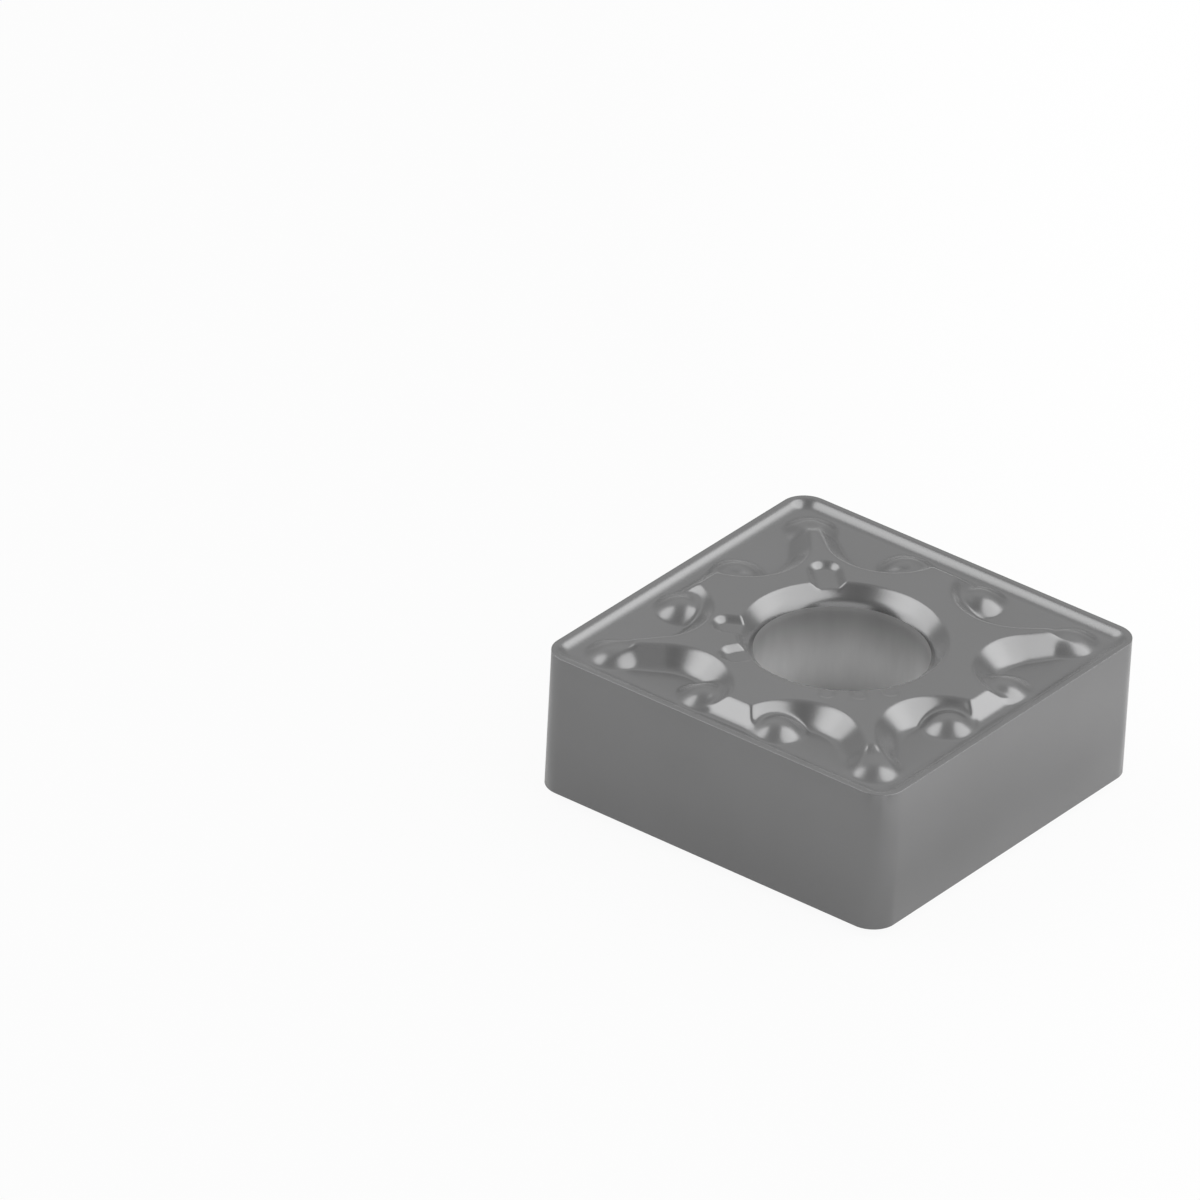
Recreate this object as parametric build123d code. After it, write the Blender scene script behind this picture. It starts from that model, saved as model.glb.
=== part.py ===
from build123d import *
import math
import os

# Square indexable cutting insert of sintered carbide, one solid piece.
# It lies flat: Z is the bore axis, the sides run along X and Y, and the origin
# is the middle of the lower seating face. Sizes are in millimetres, angles in degrees.

# Whole insert
inscribed_circle = 12.7
thickness = 4.84
corner_radius = 0.8

# Bore, with a countersunk and rounded mouth on both faces
bore_diameter = 5.16
mouth_diameter = 6.28
mouth_depth = 0.53
mouth_round = 0.7

# Cutting rim: a narrow land, then a rake slope down to the chip floor
land_width = 0.19
rim_width = 0.50
rim_depth = 0.20
rim_foot_radius = 0.30
floor_angle = 3.2
floor_length = 2.9

# Seating plateau, which stands proud of the cutting edges
plateau_rise = 0.26
plateau_root = 0.60
tab_setback = 1.34
tab_angle = 39.8

# Round bays between the plateau's tabs and its corner arms
bay_from_corner = 3.97
bay_setback = 0.87
bay_radius = 2.00
bay_wall_angle = 39.1
arm_angle = 38.7
arm_end_setback = 1.99
arm_end_angle = 26.2

# Low domes that curl the chip: two along each side, one in each corner
knob_from_bay = 1.05
knob_setback = 1.40
knob_radius = 1.07
knob_top = 0.10
nose_setback = 1.53
nose_radius = 1.09
nose_top = 0.08

# Index notches at the bore's mouth: one, two and three of them at three corners
single_notch_width = 0.85
single_notch_reach = 4.25
single_notch_depth = 0.16
double_notch_width = 0.80
double_notch_reach = 3.82
double_notch_depth = 0.16
double_notch_spread = 14.5
triple_notch_width = 0.42
triple_notch_reach = 3.62
triple_notch_depth = 0.05
triple_notch_spread = 16.0

# Values worked out from the sizes above
half = inscribed_circle / 2
edge_to_edge = thickness - plateau_rise
overall_height = thickness + plateau_rise
bay_along = half - bay_from_corner
bay_out = half - bay_setback
cut_margin = 0.1
tiny = 1e-6
quarter_turns = (0, 90, 180, 270)


def slope(angle):
    return math.tan(math.radians(angle))


def level_square(half_width, radius, z):
    return Pos(0, 0, z) * RectangleRounded(2 * half_width, 2 * half_width, radius)


def four_times(piece):
    return [Rot(0, 0, turn) * piece for turn in quarter_turns]


def mirrored_along_side(piece):
    return [piece, mirror(piece, about=Plane.YZ)]


def chip_groove():
    """Hollow between the cutting edges: the rake slope and the gently falling floor."""
    edge = level_square(half - land_width, corner_radius - land_width, 0)
    foot = level_square(half - rim_width, rim_foot_radius, -rim_depth)
    floor_end = half - rim_width - floor_length
    floor_depth = rim_depth + floor_length * slope(floor_angle)
    middle = level_square(floor_end, rim_foot_radius, -floor_depth)
    return loft([edge, foot], ruled=True) + loft([foot, middle], ruled=True)


def bay_pocket():
    """Tapered round pocket that runs out to the corner beside a plateau arm."""
    top_z = plateau_rise + cut_margin
    bottom_z = -plateau_root - cut_margin
    run = 2 * bay_from_corner
    sections = []
    for z in (top_z, bottom_z):
        radius = bay_radius - (plateau_rise - z) / slope(bay_wall_angle)
        outline = Pos(run / 2, 0) * SlotCenterToCenter(run, 2 * radius)
        sections.append(Pos(bay_along, bay_out, z) * Rot(0, 0, arm_angle) * outline)
    return loft(sections, ruled=True)


def arm_end():
    """Wedge that slopes the end of a corner arm down towards the corner."""
    reach = 3 * bay_from_corner
    start = half - arm_end_setback
    block = Box(reach, reach, reach, align=(Align.CENTER, Align.CENTER, Align.MIN))
    tilted = Rot(0, arm_end_angle, 0) * block
    return Pos(start, start, plateau_rise) * Rot(0, 0, 45) * tilted


def plateau():
    """Seating plateau: sloping tabs in the middle of each side and arms to the corners."""
    top_half = half - tab_setback
    foot_half = top_half + (plateau_rise + plateau_root) / slope(tab_angle)
    foot = Pos(0, 0, -plateau_root) * Rectangle(2 * foot_half, 2 * foot_half)
    top = Pos(0, 0, plateau_rise) * Rectangle(2 * top_half, 2 * top_half)
    body = loft([foot, top], ruled=True)
    for pocket in mirrored_along_side(bay_pocket()):
        for copy in four_times(pocket):
            body -= copy
    for wedge in four_times(arm_end()):
        body -= wedge
    return body


def dome(along, out, radius, top):
    """Ball whose poles lie level, so that its surface is even over the top."""
    return Pos(along, out, top - radius) * Rot(90, 0, 0) * Sphere(radius)


def domes():
    knob = dome(bay_along - knob_from_bay, half - knob_setback, knob_radius, knob_top)
    nose = dome(half - nose_setback, half - nose_setback, nose_radius, nose_top)
    pieces = []
    for side_knob in mirrored_along_side(knob):
        pieces += four_times(side_knob)
    return pieces + four_times(nose)


def notch(width, reach, depth, turn):
    """Round-ended notch that opens into the bore's mouth, at a turn from +X."""
    inner = bore_diameter / 2
    length = reach - width / 2 - inner
    outline = Pos(inner + length / 2, 0) * SlotCenterToCenter(length, width)
    block = extrude(outline, depth + cut_margin)
    return Rot(0, 0, turn) * Pos(0, 0, plateau_rise - depth) * block


def index_notches():
    """Three notches at 225 degrees, two at 135, one at 45 and none at 315."""
    pieces = [notch(single_notch_width, single_notch_reach, single_notch_depth, 45)]
    for step in (-1, 1):
        turn = 135 + step * double_notch_spread
        pieces.append(notch(double_notch_width, double_notch_reach, double_notch_depth, turn))
    for step in (-1, 0, 1):
        turn = 225 + step * triple_notch_spread
        pieces.append(notch(triple_notch_width, triple_notch_reach, triple_notch_depth, turn))
    return pieces


def add_face_relief(body, place):
    """Cut and build up one face; place puts its cutting-edge plane and outward normal."""
    body -= place * chip_groove()
    body += place * plateau()
    for piece in domes():
        body += place * piece
    for piece in index_notches():
        body -= place * piece
    return body


def cut_bore(body):
    """Straight bore with a countersink and a rounded edge at each end."""
    body -= Pos(0, 0, overall_height / 2) * Cylinder(bore_diameter / 2, 2 * overall_height)
    sink_top = mouth_diameter / 2
    on_its_base = (Align.CENTER, Align.CENTER, Align.MIN)
    sink = Cone(bore_diameter / 2, sink_top, mouth_depth, align=on_its_base)
    body -= Pos(0, 0, overall_height - mouth_depth) * sink
    body -= Pos(0, 0, mouth_depth) * Rot(180, 0, 0) * sink
    rings = []
    for edge in body.edges().filter_by(GeomType.CIRCLE):
        full_ring = abs(edge.length - math.pi * bore_diameter) < tiny
        if full_ring and abs(edge.radius - bore_diameter / 2) < tiny:
            rings.append(edge)
    return fillet(rings, mouth_round)


def build_insert():
    outline = level_square(half, corner_radius, plateau_rise)
    body = extrude(outline, edge_to_edge)
    top_face = Pos(0, 0, thickness)
    bottom_face = Pos(0, 0, plateau_rise) * Rot(180, 0, 0)
    body = add_face_relief(body, top_face)
    body = add_face_relief(body, bottom_face)
    return cut_bore(body)


insert_body = build_insert()
os.makedirs("parts", exist_ok=True)
export_step(insert_body, "parts/insert_body.step")
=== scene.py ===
import math

import bpy
import numpy as np
from mathutils import Matrix, Vector


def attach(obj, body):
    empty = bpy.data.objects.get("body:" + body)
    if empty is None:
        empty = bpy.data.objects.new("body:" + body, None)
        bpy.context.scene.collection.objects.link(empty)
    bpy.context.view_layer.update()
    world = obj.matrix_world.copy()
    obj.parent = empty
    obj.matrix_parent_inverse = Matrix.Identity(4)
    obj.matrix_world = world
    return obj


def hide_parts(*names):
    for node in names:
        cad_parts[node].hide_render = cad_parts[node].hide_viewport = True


# Square carbide cutting insert, lying flat on a white table.
# Sizes are in millimetres and angles in degrees, as in the part's own source, unless a
# comment says otherwise. They turn into metres where Blender takes them.
MM = 0.001

# Whole insert
INSCRIBED_CIRCLE = 12.7
THICKNESS = 4.84
CORNER_RADIUS = 0.8
PLATEAU_RISE = 0.26
BORE_RADIUS = 2.58
MOUTH_RADIUS = 3.14
MOUTH_DEPTH = 0.53
MOUTH_ROUND = 0.7

# The cutting edges are broken by the hone, with one ring part of the way round it
HONE = 0.01
HONE_MIDDLE = 0.3

# Cutting rim, from the edge inwards
LAND_WIDTH = 0.08
STEEPEST_AT = 0.28
RIM_WIDTH = 0.65
RIM_DEPTH = 0.20
LEVEL_WIDTH = 0.75
FLOOR_ANGLE = 3.7

# Seating plateau with its tabs, bays and corner arms
TAB_SETBACK = 1.34
TAB_ANGLE = 39.8
BAY_FROM_CORNER = 3.97
BAY_SETBACK = 0.87
BAY_RADIUS = 2.00
BAY_WALL_ANGLE = 39.1
ARM_ANGLE = 38.7
ARM_END_SETBACK = 1.99
ARM_END_ANGLE = 26.2

# Domes: two knobs along each side and a nose in each corner
KNOB_FROM_BAY = 1.05
KNOB_SETBACK = 1.40
KNOB_RADIUS = 1.07
KNOB_TOP = 0.10
NOSE_SETBACK = 1.53
NOSE_RADIUS = 1.09
NOSE_TOP = 0.08
DOME_LEAST_SQUARE = 1e-4

# Index notches: width, reach from the bore axis, depth, and turns from +X
NOTCHES = [
    (0.85, 4.25, 0.16, (45.0,)),
    (0.80, 3.82, 0.16, (120.5, 149.5)),
    (0.42, 3.62, 0.05, (209.0, 225.0, 241.0)),
]
OUT_OF_REACH = 9

# How softly the pressed surfaces run into each other
SOFT_LEVEL = 0.02
SOFT_TOP = 0.07
SOFT_FOOT = 0.13
SOFT_DOME = 0.23
SOFT_NOTCH = 0.36
SOFT_MOUTH = 0.05

# Mesh density: points in a ring, and rings in each stretch
AROUND = 600
UPPER_RINGS = 86
LOWER_RINGS = 40
FLANK_ROWS = 4
WALL_ROWS = 8
ROUND_ROWS = 6
BARE_ENTRY_ROWS = 3

# Coated carbide; texture scales count per metre
COAT_TONES = ((0.221, 0.221, 0.222), (0.236, 0.236, 0.238))
COAT_ROUGHNESS = (0.225, 0.255)
COAT_SHEEN = 0.2
COAT_SHEEN_ROUGHNESS = 0.6
CLOUD_SCALE = 260.0
CLOUD_DETAIL = 4.0
GRAIN_SCALE = 9000.0
GRAIN_DETAIL = 3.0
GRAIN_STRENGTH = 0.15
GRAIN_DEPTH = 0.004
TONE_PLACES = (0.3, 0.7)

# Bare wall of the bore: streaks, turned in radians, and painted shade that darkens its colour away
# from mid-height, where painted light keeps it lightest
BARE_TONES = ((0.60, 0.60, 0.60), (0.74, 0.74, 0.74))
BARE_ROUGHNESS = (0.45, 0.6)
BARE_METALLIC = 0.2
STREAK_TURN = (0.5, 0.4, 0.3)
STREAK_STRETCH = (1.0, 1.0, 0.25)
STREAK_SCALE = 900.0
STREAK_DETAIL = 5.0
BORE_PAINTED_SHADE_REACH = 2.2
BORE_PAINTED_SHADE_LEVELS = (1.05, 0.35)

# Table, with its side in metres; painted light in its colour rises across the insert, from left to
# right
FLOOR_SIZE = 6.0
FLOOR_GAP = 0.01
FLOOR_PAINTED_LIGHT_TONES = (0.51, 0.82)
FLOOR_PAINTED_LIGHT_ENDS = (-2, 15)
FLOOR_PAINTED_LIGHT_DIRECTION = (0.7071, -0.7071, 0)
FLOOR_ROUGHNESS = 0.9
FLOOR_SPECULAR = 0.1
FLOOR_WHITE_TO_CAMERA = 0.94
FLOOR_WHITE_IN_GLOSS = 0.3

# Grey room: greys from the horizon and below to straight overhead, lighter behind the insert
ROOM_GREYS = [(0.0, 0.32), (0.35, 0.32), (0.6, 0.52), (0.8, 0.54), (0.9, 0.48), (1.0, 0.50)]
ROOM_LEAN = 0.6
WHITE = (1, 1, 1, 1)

# Camera: where it looks, from which direction, and how far away it stands.
# It sees things up to the clip end, in metres.
CAMERA_AIM = (-2.274, 7.263, 4.418)
CAMERA_AZIMUTH = -143.775
CAMERA_ELEVATION = 30.492
CAMERA_DISTANCE = 462.36
CAMERA_ROLL = 3.050
CAMERA_LENS = 468.5
CAMERA_SENSOR = 36
CAMERA_CLIP_END = 10

# Soft boxes: azimuth, elevation, then distance, width and height in metres, and radiance
LAMP_DISTANCE = 0.5
MIDDLE_DISTANCE = 0.49
SOFT_BOXES = {
    "left_box": (117.9, 36.0, LAMP_DISTANCE, 0.477, 0.615, 1.5),
    "left_box_middle": (129.0, 50.0, MIDDLE_DISTANCE, 0.2, 0.2, 0.36),
    "right_box": (-59.0, 46.1, LAMP_DISTANCE, 0.69, 0.651, 1.56),
    "right_box_middle": (-34.0, 38.0, MIDDLE_DISTANCE, 0.25, 0.25, 0.3),
    "front_fill": (CAMERA_AZIMUTH, 15.0, LAMP_DISTANCE, 0.6, 0.45, 0.8),
}

# Values worked out from the sizes above
HALF = INSCRIBED_CIRCLE / 2
UPPER_EDGE = THICKNESS
LOWER_EDGE = PLATEAU_RISE
MID_HEIGHT = (LOWER_EDGE + UPPER_EDGE) / 2
CONE_ANGLE = math.atan2(MOUTH_DEPTH, MOUTH_RADIUS - BORE_RADIUS)


def slope(angle):
    return math.tan(math.radians(angle))


def direction(azimuth, elevation):
    """Unit vector that points up at the elevation, turned by the azimuth from +X."""
    turn = math.radians(azimuth)
    lift = math.radians(elevation)
    level = math.cos(lift)
    return Vector((level * math.cos(turn), level * math.sin(turn), math.sin(lift)))


def soft_max(a, b, width):
    """The higher of two surfaces, with their meeting line rounded over about the width."""
    share = np.clip(0.5 + 0.5 * (a - b) / width, 0, 1)
    return b + (a - b) * share + width * share * (1 - share)


def soft_min(a, b, width):
    return -soft_max(-a, -b, width)


def inset(x, y):
    """Distance inwards from the rounded square outline."""
    over_x = abs(x) - (HALF - CORNER_RADIUS)
    over_y = abs(y) - (HALF - CORNER_RADIUS)
    beyond = np.hypot(np.maximum(over_x, 0), np.maximum(over_y, 0))
    within = np.minimum(np.maximum(over_x, over_y), 0)
    return CORNER_RADIUS - beyond - within


def groove_height(x, y):
    """Land, rounded rake slope, level stretch and the gently falling chip floor."""
    depth = inset(x, y)
    first = STEEPEST_AT - LAND_WIDTH
    second = RIM_WIDTH - STEEPEST_AT
    turning_down = np.clip(depth - LAND_WIDTH, 0, first) ** 2 / first
    levelling_out = second - np.clip(RIM_WIDTH - depth, 0, second) ** 2 / second
    rake = -RIM_DEPTH * (turning_down + levelling_out) / (first + second)
    falling = -slope(FLOOR_ANGLE) * (depth - LEVEL_WIDTH)
    return rake + soft_min(falling, 0 * depth, SOFT_LEVEL)


def plateau_height(along, out):
    """Plateau seen in one eighth of the face, with along <= out."""
    turn = math.radians(ARM_ANGLE)
    from_x = along - (HALF - BAY_FROM_CORNER)
    from_y = out - (HALF - BAY_SETBACK)
    run = np.maximum(from_x * math.cos(turn) + from_y * math.sin(turn), 0)
    off = np.hypot(from_x - run * math.cos(turn), from_y - run * math.sin(turn))
    bay = PLATEAU_RISE - slope(BAY_WALL_ANGLE) * (BAY_RADIUS - off)
    tab = PLATEAU_RISE - slope(TAB_ANGLE) * (out - (HALF - TAB_SETBACK))
    outward = (along + out) / math.sqrt(2) - (HALF - ARM_END_SETBACK) * math.sqrt(2)
    arm_end = PLATEAU_RISE - slope(ARM_END_ANGLE) * outward
    walls = soft_min(soft_min(bay, tab, SOFT_TOP), arm_end, SOFT_TOP)
    return soft_min(walls, PLATEAU_RISE + 0 * along, SOFT_TOP)


def dome_height(off, radius, top):
    return top - radius + np.sqrt(np.maximum(radius**2 - off**2, DOME_LEAST_SQUARE))


def notch_cut(x, y):
    """How deep the index notches cut into the plateau."""
    cut = 0 * x
    for width, reach, depth, turns in NOTCHES:
        wall = min(SOFT_NOTCH, width / 2)
        for turn in turns:
            angle = math.radians(turn)
            along = x * math.cos(angle) + y * math.sin(angle)
            across = -x * math.sin(angle) + y * math.cos(angle)
            end = reach - width / 2
            off = np.hypot(np.maximum(along - end, 0), across)
            off = np.where(along > 0, off, OUT_OF_REACH)
            ease = np.clip((width / 2 - off) / wall + 0.5, 0, 1)
            cut = np.maximum(cut, depth * ease * ease * (3 - 2 * ease))
    return cut


def face_height(x, y):
    """Height of a face above its cutting edges, seen from outside."""
    along = np.minimum(abs(x), abs(y))
    out = np.maximum(abs(x), abs(y))
    z = soft_max(groove_height(x, y), plateau_height(along, out), SOFT_FOOT)
    knob_x = HALF - BAY_FROM_CORNER - KNOB_FROM_BAY
    off = np.hypot(along - knob_x, out - (HALF - KNOB_SETBACK))
    z = soft_max(z, dome_height(off, KNOB_RADIUS, KNOB_TOP), SOFT_DOME)
    off = np.hypot(along - (HALF - NOSE_SETBACK), out - (HALF - NOSE_SETBACK))
    z = soft_max(z, dome_height(off, NOSE_RADIUS, NOSE_TOP), SOFT_DOME)
    z = z - notch_cut(x, y)
    mouth_slope = MOUTH_DEPTH / (MOUTH_RADIUS - BORE_RADIUS)
    mouth = PLATEAU_RISE - mouth_slope * (MOUTH_RADIUS - np.hypot(x, y))
    return soft_min(z, mouth, SOFT_MOUTH)


def mirrored_height(x, y):
    """The underside carries the same relief, turned over about the X axis."""
    return face_height(x, -y)


def outline_points():
    """Points along the rounded square, spaced evenly, as x and y arrays."""
    straight = 2 * (HALF - CORNER_RADIUS)
    arc = math.pi / 2 * CORNER_RADIUS
    side = straight + arc
    place = (np.arange(AROUND) + 0.5) / AROUND * 4 * side
    turn = np.floor(place / side)
    place = place - turn * side
    flat = np.minimum(place, straight) - straight / 2
    bend = np.maximum(place - straight, 0) / CORNER_RADIUS
    x = HALF - CORNER_RADIUS + CORNER_RADIUS * np.cos(bend)
    y = flat + CORNER_RADIUS * np.sin(bend)
    angle = turn * math.pi / 2
    return x * np.cos(angle) - y * np.sin(angle), x * np.sin(angle) + y * np.cos(angle)


def face_rings(count, height):
    """Rings of one face from the mouth of the bore out to the land, as x, y, height."""
    edge_x, edge_y = outline_points()
    bearing = np.arctan2(edge_y, edge_x)
    start = BORE_RADIUS + MOUTH_ROUND * (1 - math.sin(CONE_ANGLE))
    shrink = 1 - HONE / HALF
    rings = []
    for share in np.linspace(0, 1, count):
        x = start * np.cos(bearing) * (1 - share) + edge_x * shrink * share
        y = start * np.sin(bearing) * (1 - share) + edge_y * shrink * share
        rings.append((x, y, height(x, y)))
    return rings


def entry_rings(first):
    """Rounded entry of the bore below the first ring of a face, going down the wall."""
    x, y, z = first
    bearing = np.arctan2(y, x)
    rings = []
    for step in range(1, ROUND_ROWS + 1):
        angle = CONE_ANGLE + (math.pi / 2 - CONE_ANGLE) * step / ROUND_ROWS
        radius = BORE_RADIUS + MOUTH_ROUND * (1 - math.sin(angle))
        drop = MOUTH_ROUND * (math.cos(CONE_ANGLE) - math.cos(angle))
        rings.append((radius * np.cos(bearing), radius * np.sin(bearing), z - drop))
    return rings


def wall_rings(top, bottom):
    """Straight wall of the bore between the last rings of its two entries."""
    rings = []
    for step in range(1, WALL_ROWS):
        share = step / WALL_ROWS
        rings.append((top[0], top[1], top[2] * (1 - share) + bottom[2] * share))
    return rings


def flank_rings():
    edge_x, edge_y = outline_points()
    heights = np.linspace(LOWER_EDGE + HONE, UPPER_EDGE - HONE, FLANK_ROWS)
    return [(edge_x, edge_y, z + 0 * edge_x) for z in heights]


def hone_ring(z):
    """Ring part of the way round the hone of a cutting edge."""
    edge_x, edge_y = outline_points()
    middle = 1 - HONE_MIDDLE * HONE / HALF
    return edge_x * middle, edge_y * middle, z + 0 * edge_x


def on_top(rings):
    return [(x, y, UPPER_EDGE + z) for x, y, z in rings]


def underneath(rings):
    return [(x, y, LOWER_EDGE - z) for x, y, z in rings]


def insert_rings():
    """Closed loop of rings: up the flank, in over the upper face, down the bore, out below.

    The second value says where the bare wall starts in the loop and where it ends.
    """
    upper = face_rings(UPPER_RINGS, face_height)
    lower = face_rings(LOWER_RINGS, mirrored_height)
    upper_entry = on_top(entry_rings(upper[0]))
    lower_entry = underneath(entry_rings(lower[0]))
    rings = flank_rings()
    rings.append(hone_ring(UPPER_EDGE - HONE_MIDDLE * HONE))
    rings += on_top(reversed(upper))
    rings += upper_entry
    rings += wall_rings(upper_entry[-1], lower_entry[-1])
    bare = (len(rings) - WALL_ROWS - BARE_ENTRY_ROWS, len(rings) + BARE_ENTRY_ROWS)
    rings += reversed(lower_entry)
    rings += underneath(lower)
    rings.append(hone_ring(LOWER_EDGE + HONE_MIDDLE * HONE))
    return rings, bare


def ring_mesh(name, rings, bare):
    """Closed mesh from a loop of rings; its bare stretch takes the second material."""
    verts = np.concatenate([np.stack(ring, axis=1) for ring in rings]) * MM
    count = len(rings)
    place = np.arange(AROUND)
    following = (place + 1) % AROUND
    faces = []
    for ring in range(count):
        this = ring * AROUND
        after = (ring + 1) % count * AROUND
        quad = [this + place, this + following, after + following, after + place]
        faces.append(np.stack(quad, axis=1))
    mesh = bpy.data.meshes.new(name)
    mesh.from_pydata(verts.tolist(), [], np.concatenate(faces).tolist())
    mesh.update()
    mesh.shade_smooth()
    slots = np.zeros(count * AROUND, dtype=np.int32)
    slots[bare[0] * AROUND : bare[1] * AROUND] = 1
    mesh.polygons.foreach_set("material_index", slots)
    obj = bpy.data.objects.new(name, mesh)
    bpy.context.collection.objects.link(obj)
    return obj


def new_material(name):
    """Material with nodes, its node tree and its shader."""
    material = bpy.data.materials.new(name)
    material.use_nodes = True
    tree = material.node_tree
    return material, tree, tree.nodes["Principled BSDF"]


def feed(tree, socket, value):
    """Give a socket a plain value, or link another node's output to it."""
    if isinstance(value, bpy.types.NodeSocket):
        tree.links.new(value, socket)
    else:
        socket.default_value = value


def calculate(tree, operation, *values):
    """Result of a sum whose values are numbers or other nodes' outputs."""
    node = tree.nodes.new("ShaderNodeMath")
    node.operation = operation
    for socket, value in zip(node.inputs, values):
        feed(tree, socket, value)
    return node.outputs["Value"]


def dot_product(tree, vector, fixed):
    node = tree.nodes.new("ShaderNodeVectorMath")
    node.operation = "DOT_PRODUCT"
    feed(tree, node.inputs[0], vector)
    node.inputs[1].default_value = fixed
    return node.outputs["Value"]


def noise(tree, vector, scale, detail):
    node = tree.nodes.new("ShaderNodeTexNoise")
    node.inputs["Scale"].default_value = scale
    node.inputs["Detail"].default_value = detail
    feed(tree, node.inputs["Vector"], vector)
    return node.outputs["Fac"]


def map_range(tree, value, source, target, interpolation="LINEAR"):
    """Bring a value from the source range into the target range."""
    node = tree.nodes.new("ShaderNodeMapRange")
    node.interpolation_type = interpolation
    ends = {"From Min": source[0], "From Max": source[1], "To Min": target[0], "To Max": target[1]}
    for name, end in ends.items():
        node.inputs[name].default_value = end
    feed(tree, node.inputs["Value"], value)
    return node.outputs["Result"]


def tones(tree, value, colours):
    """Colour that goes from the first tone to the second as the value rises."""
    node = tree.nodes.new("ShaderNodeValToRGB")
    for element, place, colour in zip(node.color_ramp.elements, TONE_PLACES, colours):
        element.position = place
        element.color = (*colour, 1)
    feed(tree, node.inputs["Fac"], value)
    return node.outputs["Color"]


def coated_material():
    material, tree, shader = new_material("coated_carbide")
    shader.inputs["Metallic"].default_value = 1.0
    shader.inputs["Sheen Weight"].default_value = COAT_SHEEN
    shader.inputs["Sheen Roughness"].default_value = COAT_SHEEN_ROUGHNESS
    place = tree.nodes.new("ShaderNodeTexCoord").outputs["Object"]
    cloud = noise(tree, place, CLOUD_SCALE, CLOUD_DETAIL)
    feed(tree, shader.inputs["Base Color"], tones(tree, cloud, COAT_TONES))
    feed(tree, shader.inputs["Roughness"], map_range(tree, cloud, (0, 1), COAT_ROUGHNESS))
    bump = tree.nodes.new("ShaderNodeBump")
    bump.inputs["Strength"].default_value = GRAIN_STRENGTH
    bump.inputs["Distance"].default_value = GRAIN_DEPTH * MM
    feed(tree, bump.inputs["Height"], noise(tree, place, GRAIN_SCALE, GRAIN_DETAIL))
    feed(tree, shader.inputs["Normal"], bump.outputs["Normal"])
    return material


def bare_material():
    """Ground wall of the bore, where the coating has hardly reached: lighter and streaked, with
    painted shade that darkens its colour towards both mouths.
    """
    material, tree, shader = new_material("bare_carbide")
    shader.inputs["Metallic"].default_value = BARE_METALLIC
    place = tree.nodes.new("ShaderNodeTexCoord").outputs["Object"]
    stretch = tree.nodes.new("ShaderNodeMapping")
    stretch.inputs["Rotation"].default_value = STREAK_TURN
    stretch.inputs["Scale"].default_value = STREAK_STRETCH
    feed(tree, stretch.inputs["Vector"], place)
    streaks = noise(tree, stretch.outputs["Vector"], STREAK_SCALE, STREAK_DETAIL)
    split = tree.nodes.new("ShaderNodeSeparateXYZ")
    feed(tree, split.inputs["Vector"], place)
    above = calculate(tree, "SUBTRACT", split.outputs["Z"], MID_HEIGHT * MM)
    depth = calculate(tree, "ABSOLUTE", above)
    # Painted shade: the base colour darkens away from mid-height of the bore, and is slightly
    # lifted at mid-height as painted light
    painted_bore_shade = map_range(tree, depth, (0, BORE_PAINTED_SHADE_REACH * MM), BORE_PAINTED_SHADE_LEVELS, "SMOOTHSTEP")
    shade = tree.nodes.new("ShaderNodeVectorMath")
    shade.operation = "SCALE"
    feed(tree, shade.inputs[0], tones(tree, streaks, BARE_TONES))
    feed(tree, shade.inputs["Scale"], painted_bore_shade)
    feed(tree, shader.inputs["Base Color"], shade.outputs["Vector"])
    feed(tree, shader.inputs["Roughness"], map_range(tree, streaks, (0, 1), BARE_ROUGHNESS))
    return material


def table_material():
    """Matt and white to the camera, with a faint shadow, darker in what it reflects, and with
    painted light in its colour that rises from left to right.
    """
    material, tree, shader = new_material("white_table")
    shader.inputs["Roughness"].default_value = FLOOR_ROUGHNESS
    shader.inputs["Specular IOR Level"].default_value = FLOOR_SPECULAR
    place = tree.nodes.new("ShaderNodeTexCoord").outputs["Object"]
    # Painted light: the base colour grows lighter across the table, from left to right of the
    # insert
    across = dot_product(tree, place, FLOOR_PAINTED_LIGHT_DIRECTION)
    ends = [end * MM for end in FLOOR_PAINTED_LIGHT_ENDS]
    feed(tree, shader.inputs["Base Color"], map_range(tree, across, ends, FLOOR_PAINTED_LIGHT_TONES))
    glow = tree.nodes.new("ShaderNodeEmission")
    glow.inputs["Color"].default_value = WHITE
    glow.inputs["Strength"].default_value = 1.0
    path = tree.nodes.new("ShaderNodeLightPath")
    seen = calculate(tree, "MULTIPLY", path.outputs["Is Camera Ray"], FLOOR_WHITE_TO_CAMERA)
    gloss = path.outputs["Is Glossy Ray"]
    share = calculate(tree, "MULTIPLY_ADD", gloss, FLOOR_WHITE_IN_GLOSS, seen)
    mix = tree.nodes.new("ShaderNodeMixShader")
    feed(tree, mix.inputs["Fac"], share)
    feed(tree, mix.inputs[1], shader.outputs["BSDF"])
    feed(tree, mix.inputs[2], glow.outputs["Emission"])
    feed(tree, tree.nodes["Material Output"].inputs["Surface"], mix.outputs["Shader"])
    return material


def build_insert():
    rings, bare = insert_rings()
    insert = ring_mesh("coated_insert", rings, bare)
    insert.data.materials.append(coated_material())
    insert.data.materials.append(bare_material())
    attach(insert, "root")
    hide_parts("insert_body")


def build_floor():
    half = FLOOR_SIZE / 2
    corners = [(-half, -half, 0), (half, -half, 0), (half, half, 0), (-half, half, 0)]
    mesh = bpy.data.meshes.new("table")
    mesh.from_pydata(corners, [], [(0, 1, 2, 3)])
    mesh.materials.append(table_material())
    floor = bpy.data.objects.new("table", mesh)
    floor.location.z = -FLOOR_GAP * MM
    bpy.context.collection.objects.link(floor)


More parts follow.
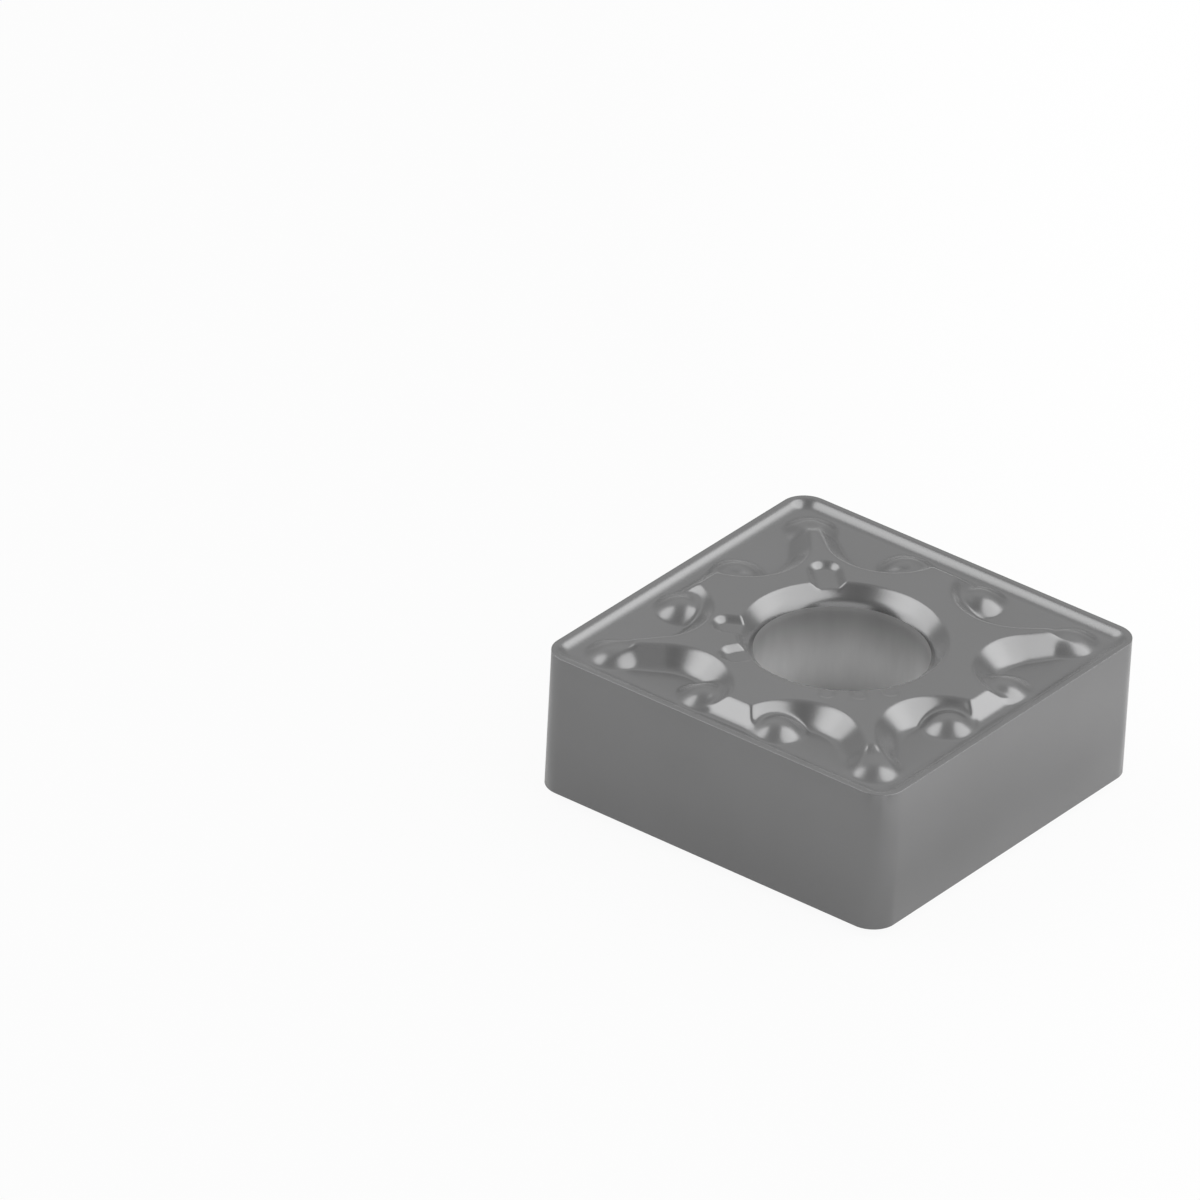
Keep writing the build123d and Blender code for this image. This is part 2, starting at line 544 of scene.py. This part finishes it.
def build_world():
    """White to the camera, and to everything else a grey room that is lighter behind the insert."""
    world = bpy.data.worlds.new("studio")
    bpy.context.scene.world = world
    world.use_nodes = True
    tree = world.node_tree
    room = tree.nodes["Background"]
    towards = tree.nodes.new("ShaderNodeTexCoord").outputs["Generated"]
    split = tree.nodes.new("ShaderNodeSeparateXYZ")
    feed(tree, split.inputs["Vector"], towards)
    ramp = tree.nodes.new("ShaderNodeValToRGB")
    for height, grey in ROOM_GREYS[1:-1]:
        ramp.color_ramp.elements.new(height)
    for element, (height, grey) in zip(ramp.color_ramp.elements, ROOM_GREYS):
        element.position = height
        element.color = (grey, grey, grey, 1)
    feed(tree, ramp.inputs["Fac"], split.outputs["Z"])
    feed(tree, room.inputs["Color"], ramp.outputs["Color"])
    lean = dot_product(tree, towards, -ROOM_LEAN * direction(CAMERA_AZIMUTH, 0))
    feed(tree, room.inputs["Strength"], calculate(tree, "ADD", lean, 1.0))
    backdrop = tree.nodes.new("ShaderNodeBackground")
    backdrop.inputs["Color"].default_value = WHITE
    backdrop.inputs["Strength"].default_value = 1.0
    path = tree.nodes.new("ShaderNodeLightPath")
    mix = tree.nodes.new("ShaderNodeMixShader")
    feed(tree, mix.inputs["Fac"], path.outputs["Is Camera Ray"])
    feed(tree, mix.inputs[1], room.outputs["Background"])
    feed(tree, mix.inputs[2], backdrop.outputs["Background"])
    feed(tree, tree.nodes["World Output"].inputs["Surface"], mix.outputs["Shader"])


def add_soft_box(name, azimuth, elevation, distance, width, height, radiance):
    """Rectangular soft box that looks at the insert from the given direction."""
    lamp = bpy.data.lights.new(name, "AREA")
    lamp.shape = "RECTANGLE"
    lamp.size = width
    lamp.size_y = height
    lamp.energy = radiance * width * height * math.pi
    box = bpy.data.objects.new(name, lamp)
    towards = direction(azimuth, elevation)
    box.location = towards * distance
    box.rotation_euler = towards.to_track_quat("Z", "Y").to_euler()
    bpy.context.collection.objects.link(box)


def build_camera():
    camera_data = bpy.data.cameras.new("camera")
    camera_data.sensor_width = CAMERA_SENSOR
    camera_data.lens = CAMERA_LENS
    camera_data.clip_end = CAMERA_CLIP_END
    camera = bpy.data.objects.new("camera", camera_data)
    towards = direction(CAMERA_AZIMUTH, CAMERA_ELEVATION)
    camera.location = Vector(CAMERA_AIM) * MM + towards * CAMERA_DISTANCE * MM
    facing = towards.to_track_quat("Z", "Y").to_matrix()
    rolled = facing @ Matrix.Rotation(math.radians(CAMERA_ROLL), 3, "Z")
    camera.rotation_euler = rolled.to_euler()
    bpy.context.collection.objects.link(camera)
    bpy.context.scene.camera = camera


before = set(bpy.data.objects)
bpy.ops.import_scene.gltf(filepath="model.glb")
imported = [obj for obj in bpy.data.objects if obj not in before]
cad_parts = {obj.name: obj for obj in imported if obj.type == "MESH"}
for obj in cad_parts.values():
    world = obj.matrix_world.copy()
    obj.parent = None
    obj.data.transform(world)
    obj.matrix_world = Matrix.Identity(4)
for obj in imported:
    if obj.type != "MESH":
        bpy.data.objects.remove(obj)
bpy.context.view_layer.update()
build_insert()
build_floor()
build_world()
for box_name, settings in SOFT_BOXES.items():
    add_soft_box(box_name, *settings)
build_camera()
bpy.context.scene.view_settings.view_transform = "Standard"
